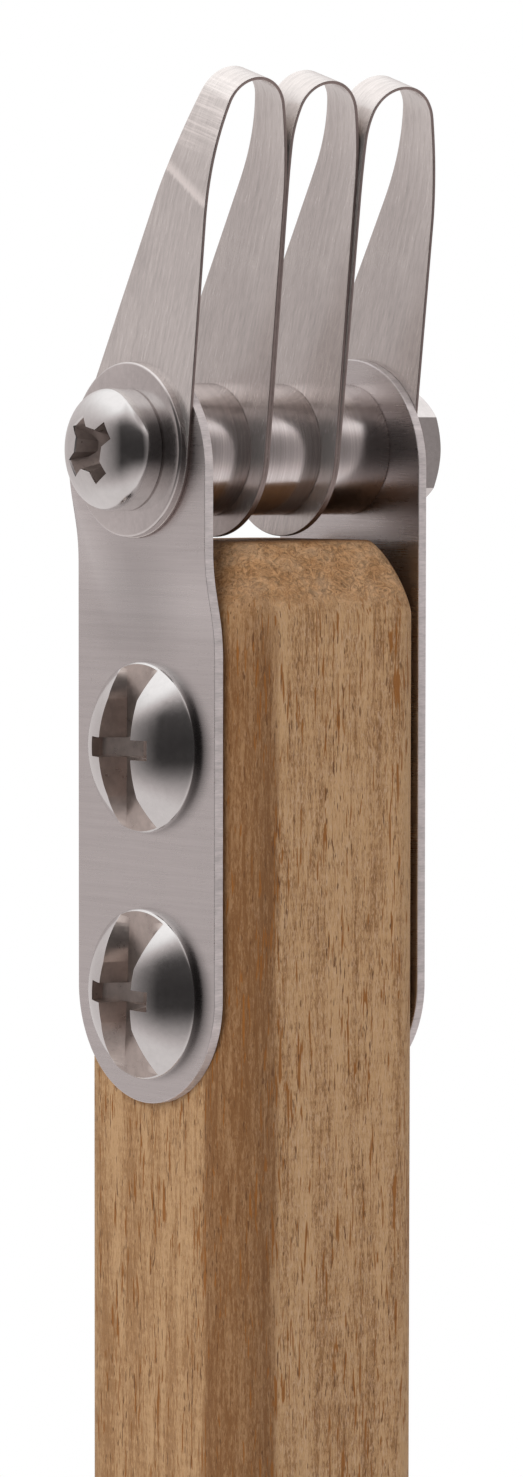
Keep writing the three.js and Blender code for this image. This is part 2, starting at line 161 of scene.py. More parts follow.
class ClampSettings(bpy.types.PropertyGroup):
    shank_radius: size("Shank", "Radius of the clamp screw's shank", 2.4)
    head_radius: size("Head radius", "Radius of the pan head", 4.62)
    head_clearance: size("Head clearance", "Air between the turning head and the washer", 0.01)
    head_side: size("Head side", "Height of the head's straight side", 1.2)
    head_fullness: FloatProperty(name="Head fullness", description="Curve of the head's dome: 2 is an ellipse, more is "
                                 "fuller", default=2.5, min=1, max=6)
    recess_reach: size("Recess reach", "Reach of the cross recess from the middle", 2.6)
    recess_width: size("Recess width", "Width of the recess arms at the surface", 1.5)
    recess_corner: size("Recess corner", "How far out the corners between the arms are cut back", 2.3)
    recess_depth: size("Recess depth", "Depth of the recess", 2.2)
    recess_turn: turn("Recess turn", "Turn of the cross about the screw", 57)
    point_chamfer: size("Point chamfer", "Chamfer of the screw's end", 0.5)
    thread_pitch: size("Thread pitch", "Pitch of the screw thread", 0.79)
    thread_depth: size("Thread depth", "Depth of the screw thread", 0.34)
    washer_bore: size("Washer bore", "Radius of the washer's hole", 2.7)
    washer_bevel: size("Washer bevel", "Rounding of the washer's rim", 0.2)
    nut_flats: size("Across flats", "Width of the nut across its flats", 9.5)
    nut_chamfer: size("Nut chamfer", "How far the chamfer cuts the nut's corners down", 0.62)
    nut_turn: turn("Nut turn", "Turn of the nut about the screw", 2.9)
    polished_tint: tint("Polished steel", "Colour of the polished heads, washer and nut", (0.62, 0.60, 0.595))
    washer_tint: tint("Washer and nut", "Colour of the washer and the nut", (0.60, 0.56, 0.55))
    # The deep recess's dark colour is painted shade.
    recess_shade_tint: tint("Recess", "Colour inside the clamp screw's deep recess", (0.21, 0.165, 0.148))


class TrussSettings(bpy.types.PropertyGroup):
    rim_radius: size("Rim radius", "Radius of the wide head", 6.5)
    rim_rounding: size("Rim rounding", "Radius of the rolled edge between the dome and the skirt", 0.32)
    skirt: size("Skirt", "Height of the head's straight side", 0.75)
    height: size("Height", "Height of the whole head", 3.4)
    slot_floor: size("Slot floor", "Height of the slot's floor above the seat", 0.84)
    slot_width: size("Slot width", "Width of the slot's flat floor", 3.0)
    slot_lean: turn("Slot lean", "Lean of the slot's walls", 11)
    upper_flare: size("Upper flare", "Where the upper screw's slot starts to widen, from the middle", 3.7)
    lower_flare: size("Lower flare", "Where the lower screw's slot starts to widen, from the middle", 2.3)
    flare: share("Flare", "How much each lip opens per length towards the rim", 0.34)
    upper_turn: turn("Upper slot turn", "Turn of the upper screw's slot about its axis", 0.5)
    lower_turn: turn("Lower slot turn", "Turn of the lower screw's slot about its axis", 3.3)
    cross_reach: size("Cross reach", "Reach of the short cross arms from the middle", 3.4)
    cross_width: size("Cross width", "Width of the cross arms", 1.5)
    cross_tip: size("Cross tip", "Height of the arms' floor above the seat at their tips", 1.75)
    cross_middle: size("Cross middle", "Height of the arms' floor above the seat in the middle", 0.4)
    slot_tint: tint("Slot", "Colour inside the pressed slots", (0.53, 0.455, 0.42))
    screw_radius: size("Screw radius", "Radius of the handle screws' shanks", 2.4)
    barrel_radius: size("Barrel radius", "Radius of the barrel nuts", 3.2)
    barrel_bore: size("Barrel bore", "Radius of the barrel nuts' bores", 2.7)
    barrel_wall: size("Barrel wall", "Thickness left under the barrel nut's head", 1.6)


class StageSettings(bpy.types.PropertyGroup):
    floor_tint: tint("Floor", "Colour of the pale floor", (0.82, 0.82, 0.82))
    floor_radius: size("Floor radius", "Radius of the floor", 3000)
    key_power: FloatProperty(name="Key light", description="Power of the large soft light", default=5.75, min=0,
                             unit="POWER")
    lens: FloatProperty(name="Lens", description="Focal length", default=123.948, min=1, unit="CAMERA")


class CarvingToolSettings(bpy.types.PropertyGroup):
    handle: PointerProperty(type=HandleSettings, name="Handle", description="Wooden handle")
    plates: PointerProperty(type=PlateSettings, name="Side plates", description="Steel side plates")
    loops: PointerProperty(type=LoopSettings, name="Cutting loops", description="Steel cutting loops")
    spacers: PointerProperty(type=SpacerSettings, name="Spacers", description="Turned spacers")
    clamp: PointerProperty(type=ClampSettings, name="Clamp", description="Clamp screw, washer and nut")
    truss: PointerProperty(type=TrussSettings, name="Handle fasteners", description="Wide slotted heads")
    stage: PointerProperty(type=StageSettings, name="Stage", description="Floor, lights and camera")


def in_millimetres(settings):
    """The settings as plain values, with the lengths in millimetres."""
    values = {}
    for name, prop in settings.bl_rna.properties.items():
        if name in {"rna_type", "name"}:
            continue
        value = getattr(settings, name)
        values[name] = value / MILLIMETRE if getattr(prop, "unit", "NONE") == "LENGTH" else value
    return SimpleNamespace(**values)


def place_of(node):
    """Lowest and highest corner of a frame node, in millimetres."""
    low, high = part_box(node)
    return low / MILLIMETRE, high / MILLIMETRE


# Shader nodes


class Value:
    """A shader value. Sums, differences and products of values become Math nodes."""

    def __init__(self, look, socket):
        self.look, self.socket = look, socket

    def calc(self, operation, other=0.0):
        return self.look.add("ShaderNodeMath", {0: self, 1: other}, operation=operation)

    def __add__(self, other):
        return self.calc("ADD", other)

    def __sub__(self, other):
        return self.calc("SUBTRACT", other)

    def __rsub__(self, other):
        return self.look.add("ShaderNodeMath", {0: other, 1: self}, operation="SUBTRACT")

    def __mul__(self, other):
        return self.calc("MULTIPLY", other)

    def __abs__(self):
        return self.calc("ABSOLUTE")

    def most(self, other):
        return self.calc("MAXIMUM", other)

    def fit(self, from_low, from_high, to_low=0.0, to_high=1.0, smooth=False):
        """Maps one range to another and holds the value at its ends."""
        inputs = {"Value": self, "From Min": from_low, "From Max": from_high, "To Min": to_low, "To Max": to_high}
        kind = "SMOOTHSTEP" if smooth else "LINEAR"
        return self.look.add("ShaderNodeMapRange", inputs, interpolation_type=kind)


class Look:
    """A node tree and the node that it feeds, with short ways to make more nodes."""

    def __init__(self, tree, target):
        self.tree, self.target = tree, target

    def add(self, kind, inputs, output=0, **settings):
        """Makes a node, links or sets its inputs, and returns one of its outputs."""
        made = self.tree.nodes.new(kind)
        for name, value in settings.items():
            setattr(made, name, value)
        for name, value in inputs.items():
            if isinstance(value, Value):
                self.tree.links.new(value.socket, made.inputs[name])
            else:
                made.inputs[name].default_value = value
        return Value(self, made.outputs[output])

    def split(self, vector):
        """X, Y and Z of a vector."""
        made = self.add("ShaderNodeSeparateXYZ", {0: vector}).socket.node
        return [Value(self, socket) for socket in made.outputs]

    def stretched(self, scale=(1, 1, 1), output="Object"):
        """Pattern coordinates. scale is the size of one pattern cell along each axis, in millimetres."""
        unit = MILLIMETRE if output == "Object" else 1
        inputs = {"Vector": self.add("ShaderNodeTexCoord", {}, output), "Scale": [1 / (cell * unit) for cell in scale]}
        return self.add("ShaderNodeMapping", inputs)

    def noise(self, scale, detail=2, roughness=0.5, distortion=0.0, output="Object"):
        inputs = {"Vector": self.stretched(scale, output), "Scale": 1.0, "Detail": detail, "Roughness": roughness,
                  "Distortion": distortion}
        return self.add("ShaderNodeTexNoise", inputs, "Fac")

    def mixed(self, factor, first, second):
        return self.add("ShaderNodeMix", {0: factor, 6: first, 7: second}, 2, data_type="RGBA")

    def bumped(self, height, distance):
        return self.add("ShaderNodeBump", {"Height": height, "Distance": distance * MILLIMETRE, "Strength": 1.0})

    def measured(self, operation, vector, other=(0, 0, 0)):
        """A number that vector mathematics gives."""
        return self.add("ShaderNodeVectorMath", {0: vector, 1: other}, "Value", operation=operation)

    def ray(self, kind):
        """1 for one kind of ray, and 0 for the others."""
        return self.add("ShaderNodeLightPath", {}, f"Is {kind} Ray")

    def feed(self, name, value):
        self.tree.links.new(value.socket, self.target.inputs[name])


def new_material(name, colour, **values):
    """A material and the look of its Principled shader. The look is None where the material was there before."""
    material = bpy.data.materials.get(name)
    if material is not None:
        return material, None
    material = bpy.data.materials.new(name)
    material.use_nodes = True
    material.diffuse_color = colour
    shader = material.node_tree.nodes["Principled BSDF"]
    for socket, value in values.items():
        shader.inputs[socket].default_value = value
    return material, Look(material.node_tree, shader)


def scaled_colour(colour, factor):
    return (*(min(1, channel * factor) for channel in colour[:3]), 1)


def steel(name, colour, grain, rough, output="Object", grain_depth=0.0012, streaks=0.12, mottle=6.0, metal=1.0,
          paint=None):
    """Steel with a directional grain.

    grain is the size of one scratch along each axis, rough the range of roughness, streaks how far the colour varies,
    mottle the size of its clouds, and paint a function that changes the finished colour.
    """
    material, look = new_material(name, colour, Metallic=metal)
    if look is None:
        return material
    fine = look.noise(grain, 3, 0.65, output=output)
    coarse = look.noise([length * 5 for length in grain], output=output)
    cloudy = look.noise((mottle, mottle, mottle), 3, 0.6, output=output)
    specks = look.noise((0.35, 0.35, 0.35), output=output)
    tone = fine * 0.5 + coarse * 0.3 + cloudy * 0.2
    brushed = look.mixed(tone.fit(0.36, 0.64), scaled_colour(colour, 1 - streaks), scaled_colour(colour, 1 + streaks))
    worn = look.mixed(specks.fit(0.70, 0.80, 0.0, 0.35), brushed, scaled_colour(colour, 0.72))
    look.feed("Base Color", paint(look, worn) if paint else worn)
    look.feed("Roughness", (fine * 0.6 + cloudy * 0.4).fit(0.35, 0.65, *rough))
    look.feed("Normal", look.bumped(fine + coarse * 0.6, grain_depth))
    return material


def head_finishes(polished, inside, inside_colour, metal):
    """Polished outside, and duller in the pressed recess. A dark inside colour paints shade in the recess."""
    return [
        steel("polished_head", polished, (0.5, 0.5, 0.5), (0.10, 0.19), streaks=0.05, mottle=2.5),
        steel(inside, inside_colour, (0.6, 0.6, 0.6), (0.26, 0.40), grain_depth=0.012, streaks=0.16, mottle=1.5,
              metal=metal),
    ]


def strip_finish(s, name="brushed_strip", paint=None):
    return steel(name, s.strip_tint, (0.06, 1.1, 1.0), (0.18, 0.28), "UV", grain_depth=0.0014, streaks=0.19,
                 metal=0.86, paint=paint)


def strip_with_painted_highlight(s):
    """Brushed strip with a painted highlight line across it at the fold, and fainter painted highlight bands on the
    bend above.
    """

    def paint_kink_highlight(look, plain):
        across, along, _ = look.split(look.stretched(output="UV"))
        uneven = look.noise((0.25, 3.0, 1.0), output="UV")
        off = along - across * s.fold_slant + uneven * 0.5 - (s.fold + 0.25)
        line = off.fit(-0.45, -0.1, smooth=True) * off.fit(0.75, 0.0, smooth=True)
        window = along.fit(s.fold + 2.2, s.fold + 3.4) * along.fit(s.fold + 8.6, s.fold + 7.4)
        bands = look.noise((9.0, 0.35, 1.0), 2, 0.6, output="UV").fit(0.46, 0.60) * window * 0.5
        # The line and the bands are painted brighter, as highlights.
        return look.mixed((line * 0.85).most(bands), plain, scaled_colour(s.strip_tint, 1.5))

    return strip_finish(s, "strip_with_painted_highlight", paint_kink_highlight)


def plate_finish(s):
    """Satin sheet with painted shade on the bow and a painted shadow beside each wide head."""
    upright = 1.12

    def with_painted_shade(look, plain):
        flat = look.add("ShaderNodeVectorMath", {0: look.stretched(), 1: (0, 1, upright)}, operation="MULTIPLY")

        def around(y, drop, core, fade, strength):
            away = look.measured("DISTANCE", flat, (0, y, (CLAMP_AXIS_HEIGHT - drop) * upright))
            return away.fit(fade, core, 0.0, strength, smooth=True)

        # Painted shade on the bow, and painted shadows beside the two wide heads, drawn towards -Y
        shade_mask = around(0.8, (s.bow_start + s.bow_end) / 2, 0.5, 8.0, 0.30)
        for drop in (s.upper_drop, s.lower_drop):
            shade_mask = shade_mask.most(around(-1.0, drop, 5.7, 7.65, 0.85))
        return look.mixed(shade_mask, plain, scaled_colour(s.sheet_tint, 0.22))

    return steel("satin_sheet", s.sheet_tint, (1.5, 4, 0.06), (0.24, 0.34), grain_depth=0.0014, streaks=0.08,
                 mottle=2.2, paint=with_painted_shade)


def handle_wood(s, top):
    """Hardwood with golden sides, a coarser front and back, darker corners and end grain at the top."""
    material, look = new_material("open_pored_wood", s.middle_wood)
    if look is None:
        return material
    x, y, z = look.split(look.stretched())
    rough_face = abs(y).fit(7.6, 9.2)
    end_face = z.fit(top - 5.6, top - 3.4, smooth=True)

    broad = look.noise((1.9, 1.9, 34), 3)
    streak = look.noise((0.42, 0.42, 5.5), 4, 0.68, 0.7)
    fuzz = look.noise((0.13, 0.13, 0.55), 3, 0.7, 0.9)
    ripple = look.noise((5, 2.2, 0.55), distortion=0.5)
    cloud = look.noise((3.5, 3.5, 16), 3, 0.6)
    tone = broad * 0.35 + streak * 0.45 + fuzz.fit(0.0, 1.0, -0.09, 0.41) + ripple * 0.14
    tone = tone + cloud.fit(0.30, 0.70, -0.035, 0.035)
    colour = look.mixed(tone.fit(0.56, 0.70), s.middle_wood, s.light_wood)
    colour = look.mixed(tone.fit(0.61, 0.47, 0.0, rough_face.fit(0, 1, 0.35, 0.9)), colour, s.dark_wood_and_shade)

    # Pale raised fibres on the front and back
    fibre = look.noise((0.17, 0.17, 0.95), 4, 0.65, 1.5)
    colour = look.mixed(fibre.fit(0.50, 0.64) * rough_face.fit(0, 1, 0.24, 0.72), colour, s.fuzz_wood)

    # Short curled fibres of the end grain
    curls = look.noise((0.85, 0.85, 0.6), 5, 0.78, 2.2)
    ends = look.mixed(curls.fit(0.40, 0.60), scaled_colour(s.end_wood, 0.52), scaled_colour(s.end_wood, 1.58))
    patch = look.noise((2.6, 2.6, 1.5), 5, 0.75, 0.3)
    ends = look.mixed(patch.fit(0.56, 0.34, 0.0, 0.45), ends, s.vessel_wood)
    ends = look.mixed(patch.fit(0.46, 0.66, 0.0, 0.4), ends, s.fuzz_wood)
    colour = look.mixed(end_face * 0.92, colour, ends)
    # Painted shade on the flat end under the clamped stack
    colour = look.mixed(z.fit(top - 0.25, top - 0.02, 0.0, 0.6), colour, s.pore_and_shade_wood)

    # Painted shade along two opposite corners, strongest where the grain is dark
    corner = abs(x * 0.76 + y) + look.noise((0.8, 0.8, 9), 3) * 1.2
    corner_shade = corner.fit(13.85, 14.55, smooth=True) * (streak + fuzz).fit(0.86, 1.18, 1.0, 0.60)
    colour = look.mixed(corner_shade * z.fit(top - 3.0, top - 9.0, 0.25, 1.0), colour, s.dark_wood_and_shade)

    # Long thin vessels and short dark pores, crowded in places
    crowd = look.noise((1.3, 1.3, 8))
    lines = look.noise((0.24, 0.24, 3.0), 2, 0.5, 0.45) - crowd.fit(0.35, 0.68, 0.67, 0.565)
    lines = lines.fit(0.0, 0.04) * end_face.fit(0, 1, 0.92, 0.2)
    colour = look.mixed(lines, colour, s.vessel_wood)
    pores = (look.noise((0.15, 0.15, 1.1), 1, 0.4) - crowd.fit(0.35, 0.68, 0.74, 0.66)).fit(0.0, 0.04)
    colour = look.mixed(pores * 0.85, colour, s.pore_and_shade_wood)

    look.feed("Base Color", colour)
    look.feed("Roughness", fuzz.fit(0.3, 0.7, 0.62, 0.8))
    look.target.inputs["Specular IOR Level"].default_value = 0.28
    look.feed("Normal", look.bumped(fuzz + fibre * 0.8 + curls * end_face * 1.6 - (pores + lines * 0.4), 0.06))
    return material


# Mesh tools. Everything is modelled in millimetres and scaled at the end.


def verts_of(made):
    return [item for item in made["geom"] if isinstance(item, bmesh.types.BMVert)]


def edges_of(made):
    return [item for item in made["geom"] if isinstance(item, bmesh.types.BMEdge)]


def faces_of(made):
    return [item for item in made["geom"] if isinstance(item, bmesh.types.BMFace)]


def edges_at(verts):
    """The edges that meet the verts, each once and always in the same order."""
    return list(dict.fromkeys(edge for vert in verts for edge in vert.link_edges))


def middle_of(face):
    return face.calc_center_median()


def radius_of(co):
    """Distance from the X axis."""
    return math.hypot(co.y, co.z)


def place(verts, rule):
    for vert in verts:
        vert.co = rule(vert.co)


def move(bm, vector, verts=None):
    bmesh.ops.translate(bm, vec=vector, verts=bm.verts if verts is None else verts)


def rotate(bm, angle, axis):
    bmesh.ops.rotate(bm, cent=(0, 0, 0), matrix=Matrix.Rotation(angle, 3, axis), verts=bm.verts)


def merge(bm):
    bmesh.ops.remove_doubles(bm, verts=bm.verts, dist=SEAM_DISTANCE)
    bmesh.ops.dissolve_degenerate(bm, dist=SEAM_DISTANCE / 10, edges=bm.edges)


def bevel(bm, edges, offset, segments=3):
    bmesh.ops.bevel(
        bm, geom=edges, offset=offset, offset_type="OFFSET", segments=segments, profile=0.5,
        affect="EDGES", clamp_overlap=True, material=-1,
    )


def sharp_edges(bm):
    return [edge for edge in bm.edges if edge.is_manifold and edge.calc_face_angle() > SHARP_ANGLE]


def spun(points):
    """A body of revolution about X, from (radius, x) points."""
    bm = bmesh.new()
    verts = [bm.verts.new((x, 0, radius)) for radius, x in points]
    edges = [bm.edges.new(pair) for pair in zip(verts, verts[1:])]
    bmesh.ops.spin(
        bm, geom=verts + edges, cent=(0, 0, 0), axis=(1, 0, 0), angle=2 * math.pi, steps=ROUND_STEPS, use_merge=True
    )
    merge(bm)
    bmesh.ops.recalc_face_normals(bm, faces=bm.faces)
    return bm


def tube(name, bore):
    """A ring about X with a bore, as long and as wide as a frame node."""
    low, high = place_of(name)
    radius = (high.z - low.z) / 2
    return spun([(bore, low.x), (radius, low.x), (radius, high.x), (bore, high.x), (bore, low.x)])


def round_dome(apex, edge, radius, level):
    """Points of a spherical dome from its apex on the axis to its edge, facing -X, with one ring just at the level."""
    steps, height = 26, edge - apex
    sphere = (radius * radius + height * height) / (2 * height)
    spread = math.asin(radius / sphere)
    angles = [spread * i / steps for i in range(steps + 1)] + [math.acos(1 - (level - apex) / sphere)]
    return [(sphere * math.sin(angle), apex + sphere * (1 - math.cos(angle))) for angle in sorted(angles)]


def full_dome(apex, edge, radius, fullness):
    """Points of a dome that ends upright at its edge, facing -X. Fullness 2 is an ellipse, more is fuller."""
    steps = 32
    angles = [math.pi / 2 * i / steps for i in range(steps + 1)]
    return [(radius * math.sin(angle) ** (2 / fullness), edge - (edge - apex) * math.cos(angle) ** (2 / fullness))
            for angle in angles]


def cut(bm, faces, point, normal):
    """Cuts edges into the faces where a plane passes."""
    geom = dict.fromkeys(item for face in faces for item in (face, *face.edges, *face.verts))
    bmesh.ops.bisect_plane(bm, geom=list(geom), dist=1e-4, plane_co=point, plane_no=normal)


def sink(bm, faces, rule, finish=1):
    """Pushes the faces in and returns them. The rule places them, and walls with the finish join them to their rim."""
    before = set(bm.faces)
    made = bmesh.ops.extrude_face_region(bm, geom=faces, use_keep_orig=True)
    place(verts_of(made), rule)
    for face in bm.faces:
        if face not in before:
            face.material_index = finish
    bmesh.ops.delete(bm, geom=faces, context="FACES")
    return faces_of(made)


def finish_piece(bm, name, body, nodes, materials, crease=32):
    """Closes seams, turns the faces outwards, brings the mesh to metres and hands the piece to the frame."""
    merge(bm)
    bmesh.ops.recalc_face_normals(bm, faces=bm.faces)
    bmesh.ops.scale(bm, vec=(MILLIMETRE,) * 3, verts=bm.verts)
    mesh = bpy.data.meshes.new(name)
    bm.to_mesh(mesh)
    bm.free()
    mesh.shade_smooth()
    mesh.set_sharp_from_angle(angle=math.radians(crease))
    for material in materials:
        mesh.materials.append(material)
    piece = bpy.data.objects.new(name, mesh)
    bpy.context.scene.collection.objects.link(piece)
    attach(piece, body)
    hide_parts(*nodes)


# Wooden handle


def open_bores(bm, x, side, heights, radius):
    """Replaces the flat face at one side by the same face with round holes, and returns the holes' edges."""
    flat = max((f for f in bm.faces if f.normal.x * side > 0.99), key=lambda f: f.calc_area())
    outline = list(flat.edges)
    bmesh.ops.delete(bm, geom=[flat], context="FACES_ONLY")
    rims = []
    for z in heights:
        across = Matrix.Translation((x, 0, z)) @ Matrix.Rotation(math.pi / 2, 4, "Y")
        ring = bmesh.ops.create_circle(bm, cap_ends=False, segments=HOLE_STEPS, radius=radius, matrix=across)["verts"]
        rims.append(edges_at(ring))
    bmesh.ops.triangle_fill(bm, use_beauty=True, use_dissolve=False, normal=(side, 0, 0),
                            edges=outline + [edge for rim in rims for edge in rim])
    return rims


def build_handle(s, screw_heights):
    low, high = place_of("handle")
    shoulder = high.z - s.top_drop
    bm = bmesh.new()
    bmesh.ops.create_cube(bm, size=1)
    bmesh.ops.scale(bm, vec=(high.x - low.x, high.y - low.y, shoulder - low.z), verts=bm.verts)
    move(bm, (0, 0, (shoulder + low.z) / 2))
    bevel(bm, [e for e in bm.edges if abs(e.verts[0].co.z - e.verts[1].co.z) > 1], s.edge_rounding, segments=12)
    bevel(bm, [e for e in bm.edges if all(v.co.z < low.z + 0.01 for v in e.verts)], s.butt_rounding, segments=5)
    # The working end narrows and rises ring by ring along its curve
    steps, power = 20, 2 / s.top_fullness
    top = [f for f in bm.faces if f.normal.z > 0.99]
    wide = high.x
    for i in range(1, steps + 1):
        angle = math.pi / 2 * i / steps
        narrow = high.x - s.top_inset * (1 - math.cos(angle) ** power)
        level = shoulder + s.top_drop * math.sin(angle) ** power
        made = bmesh.ops.extrude_face_region(bm, geom=top)
        top = faces_of(made)
        place(verts_of(made), lambda co: Vector((co.x * narrow / wide, co.y * narrow / wide, level)))
        wide = narrow
    # A narrow margin keeps the large flats' shading flat
    flats = [f for f in bm.faces if max(abs(f.normal.x), abs(f.normal.y)) > 0.999 and f.calc_area() > 100]
    bmesh.ops.inset_individual(bm, faces=flats, thickness=0.12)
    left = open_bores(bm, low.x, -1, screw_heights, s.bore_radius)
    right = open_bores(bm, high.x, 1, screw_heights, s.bore_radius)
    for near, far in zip(left, right):
        bmesh.ops.bridge_loops(bm, edges=near + far)
    finish_piece(bm, "wooden_handle", HOME_BODY, ["handle"], [handle_wood(s, high.z)])


# Side plates


def blank_disc(bm, centre, radius, segments=96):
    """A ring of edges in the Y-Z plane, with corners half a step off the horizontal."""
    upright = Matrix.Translation(centre) @ Matrix.Rotation(math.pi / 2, 4, "Y")
    upright = upright @ Matrix.Rotation(math.pi / segments, 4, "Z")
    return bmesh.ops.create_circle(bm, cap_ends=False, segments=segments, radius=radius, matrix=upright)["verts"]


def thicken(bm, thickness, edge_bevel):
    """Gives a flat blank its thickness along X, on both sides of X = 0, and rounds its edges."""
    move(bm, (-thickness / 2, 0, 0))
    made = bmesh.ops.extrude_face_region(bm, geom=bm.faces[:])
    move(bm, (thickness, 0, 0), verts_of(made))
    bmesh.ops.recalc_face_normals(bm, faces=bm.faces)
    bevel(bm, sharp_edges(bm), edge_bevel, segments=2)
    bmesh.ops.recalc_face_normals(bm, faces=bm.faces)
    # The cut edge has the second finish
    for face in bm.faces:
        face.material_index = 1 if abs(face.normal.x) < 0.9 else 0


def build_plate(s, name, centre_x, hole_radius, bow):
    low, high = place_of(name)
    bm = bmesh.new()
    top = high.z - s.half_width
    ring = blank_disc(bm, (0, 0, top), s.half_width)
    move(bm, (0, 0, low.z + s.half_width - top), [v for v in ring if v.co.z < top])
    for drop, radius in ((0, s.clamp_hole), (s.upper_drop, hole_radius), (s.lower_drop, hole_radius)):
        blank_disc(bm, (0, 0, CLAMP_AXIS_HEIGHT - drop), radius, HOLE_STEPS)
    bmesh.ops.triangle_fill(bm, use_beauty=True, use_dissolve=False, edges=bm.edges, normal=(1, 0, 0))
    if bow:
        # Columns and rows of edges let the blank follow the bow, up to where its back edge ends
        for y in (1.5, 3.0, 4.5, 6.0, 7.2):
            cut(bm, bm.faces[:], (0, y, 0), (0, 1, 0))
        rows, last_drop = 26, s.bow_end - s.bow_twist
        for i in range(rows + 1):
            drop = s.bow_start + (last_drop - s.bow_start) * i / rows
            cut(bm, bm.faces[:], (0, 0, CLAMP_AXIS_HEIGHT - drop), (0, 0, 1))
    thicken(bm, s.thickness, s.edge_bevel)

    def spring(co):
        """Bows the plate out. The bow is eased at both ends, and higher towards the back edge."""
        lifted = co.z - s.bow_twist * max(0, co.y / s.half_width) ** 2
        rise = (CLAMP_AXIS_HEIGHT - lifted - s.bow_start) / (s.bow_end - s.bow_start)
        rise = min(1, max(0, rise))
        eased = rise ** 3 * (6 * rise * rise - 15 * rise + 10)
        return Vector((centre_x + co.x - bow * eased, co.y, co.z))

    place(bm.verts, spring)
    edge = steel("sheared_edge", s.edge_tint, (0.8, 0.12, 0.12), (0.4, 0.55), grain_depth=0.004, streaks=0.22,
                 metal=0.45)
    finish_piece(bm, name.replace("side_plate", "plate"), HOME_BODY, [name], [plate_finish(s), edge],
                 crease=20)


# Cutting loops

# Each loop: its lean in degrees, and its crown's inset at each side and shift to the right in millimetres
LOOP_FORMS = {"left": (17.7, 1.04, 0.14), "middle": (17.6, 0.5, -0.18), "right": (18.4, 0.6, -0.44)}
# Where the blank's ladder of rungs starts above each hole, in millimetres
LADDER_FOOT = 8.5
LADDER_STEPS = 150


class LoopPath:
    """Middle line of a bent strip, by its length from the left leg's hole over the crown to the right leg's hole."""

    def __init__(self, s, leg_half_gap, crown_inset, crown_shift):
        crown = leg_half_gap - crown_inset
        angle = s.flank_angle
        sides = []
        for side in (-1, 1):
            reach = leg_half_gap - side * crown_shift
            flank = (reach - crown * math.cos(angle)) / (1 - math.cos(angle))
            start = s.height - crown - (flank - crown) * math.sin(angle)
            sides.append((flank, start))
        (left_flank, left_start), (right_flank, right_start) = sides
        # Each part: its length, radius, centre and the angle of its start, turning clockwise seen from -Y
        self.parts = [
            (left_start, None, (-leg_half_gap, 0), math.pi),
            (left_flank * angle, left_flank, (left_flank - leg_half_gap, left_start), math.pi),
            (crown * (math.pi - 2 * angle), crown, (crown_shift, s.height - crown), math.pi - angle),
            (right_flank * angle, right_flank, (leg_half_gap - right_flank, right_start), angle),
            (right_start, None, (leg_half_gap, right_start), 0),
        ]
        self.length = sum(part[0] for part in self.parts)

    def at(self, along):
        """X, Z and the outward direction's X and Z at a length."""
        left = along
        for part in self.parts:
            if left <= part[0] or part is self.parts[-1]:
                break
            left -= part[0]
        _, radius, centre, start = part
        if radius is None:
            rising = 1 if start else -1
            return centre[0], centre[1] + rising * left, math.cos(start), 0.0
        angle = start - left / radius
        x, z = math.cos(angle), math.sin(angle)
        return centre[0] + radius * x, centre[1] + radius * z, x, z


def leg_half_width(s, height):
    """Half width of the strip at a height: a straight taper, then a curve into the narrow crown."""
    straight = s.end_radius * math.hypot(1, s.taper)
    if height <= s.tapered_height:
        return straight - s.taper * height
    # The curve is a quadratic that leaves along the taper, and t is where it passes this height
    base, crown = straight - s.taper * s.tapered_height, s.crown_width / 2
    control = s.tapered_height + (base - crown) / s.taper
    top = s.height + 1
    a, b, c = s.tapered_height - 2 * control + top, 2 * (control - s.tapered_height), s.tapered_height - height
    t = (-b + math.sqrt(b * b - 4 * a * c)) / (2 * a) if abs(a) > 1e-6 else -c / b
    return (1 - t) ** 2 * base + 2 * (1 - t) * t * crown + t * t * crown


def holed_end(bm, s, rung, height, flip):
    """The flat round end of the strip, filled up to a rung of the ladder. flip turns it to the far end."""
    tangent = math.atan(s.taper)
    ring = blank_disc(bm, (0, 0, 0), s.end_radius)
    upper = [v for v in ring if v.co.z > s.end_radius * math.sin(tangent)]
    bmesh.ops.delete(bm, geom=upper, context="VERTS")
    ring = [v for v in ring if v.is_valid]
    ends = sorted((v for v in ring if len(v.link_edges) == 1), key=lambda v: v.co.y)
    hole = blank_disc(bm, (0, 0, 0), s.hole_radius, HOLE_STEPS)
    if flip:
        place(ring + hole, lambda co: Vector((co.x, co.y, height - co.z)))
    for pair in zip(ends, sorted(rung.verts, key=lambda v: v.co.y)):
        bm.edges.new(pair)
    bmesh.ops.triangle_fill(bm, use_beauty=True, use_dissolve=False, normal=(1, 0, 0),
                            edges=edges_at(ring + hole) + [rung])


